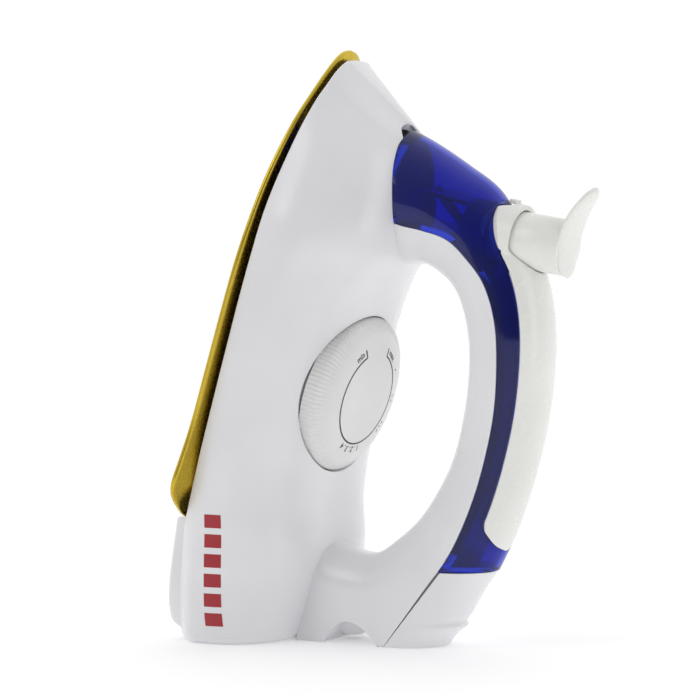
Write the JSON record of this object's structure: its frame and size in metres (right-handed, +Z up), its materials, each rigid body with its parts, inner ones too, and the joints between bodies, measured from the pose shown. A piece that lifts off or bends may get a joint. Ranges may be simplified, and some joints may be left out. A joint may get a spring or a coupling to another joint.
{
  "type": "waxing iron",
  "caption": "Small electric iron with a gold sole, white body, under-handle heat dial, blue water tank in the handle and thumb spray pump, standing on its heel.",
  "frame": {"origin": "centre of the bounding box on the table plane that the heel stands on", "axes": "+Z up, towards the nose; +X from the sole to the handle; +Y across, the iron is symmetrical about Y = 0"},
  "size_m": [0.1816, 0.113, 0.2536],
  "materials": {
    "gold_sole": "gold coloured non-stick coat on aluminium",
    "white_abs": "glossy white moulded plastic",
    "dial_white": "satin white moulded plastic with printed marks",
    "grip_ivory": "smooth warm white moulded plastic",
    "tank_blue": "translucent cobalt blue plastic",
    "steel": "bright zinc plated steel",
    "ceramic": "steatite and natural plastic",
    "copper": "copper alloy strip",
    "seal_rubber": "black rubber",
    "lead_sleeve": "silicone rubber wire sleeve"
  },
  "bodies": {
    "iron": {"soleplate": "gold_sole", "heating_element": "steel", "element_pins": "steel", "heat_shield": "steel", "shield_posts": "steel", "thermostat_bridge": "steel", "thermostat_stack": "ceramic", "contact_blades": "copper", "thermal_fuse": "ceramic", "body_shell": "white_abs", "rear_underside_cover": "white_abs", "cover_screws": "steel", "handle_inner": "white_abs", "handle_screws": "steel", "water_tank": "tank_blue", "tank_baffle": "tank_blue", "grip_cover": "grip_ivory", "rear_cap": "white_abs", "pump_cylinder": "ceramic", "plunger_spring": "steel", "inlet_valve": "steel", "suction_tube": "ceramic", "spray_nozzle": "grip_ivory", "cord_socket": "white_abs", "cord_clamp": "ceramic", "terminal_block": "ceramic", "terminal_screws": "steel", "element_leads": "lead_sleeve"},
    "dial": {"dial_knob": "dial_white", "dial_shaft": "steel"},
    "plunger": {"spray_plunger": "grip_ivory", "pump_piston": "ceramic", "pump_seal": "seal_rubber"},
    "cord_ball": {"cord_swivel": "white_abs"}
  },
  "joints": [
    {"name": "dial_turn", "type": "hinge", "parent": "iron", "child": "dial", "pos_m": [-0.02877, 0, 0.107], "axis": [0.9588, 0, -0.284], "range_deg": [-235, 60]},
    {"name": "plunger_press", "type": "slide", "parent": "iron", "child": "plunger", "axis": [-0.9863, 0, 0.165], "range_m": [0, 0.006], "stiffness_N_per_m": 400, "springref_m": -0.006, "deforming": ["plunger_spring"]},
    {"name": "cord_swing", "type": "hinge", "parent": "iron", "child": "cord_ball", "pos_m": [-0.0241, 0, 0.0127], "axis": [0, 1, 0], "range_deg": [-20, 20]}
  ]
}
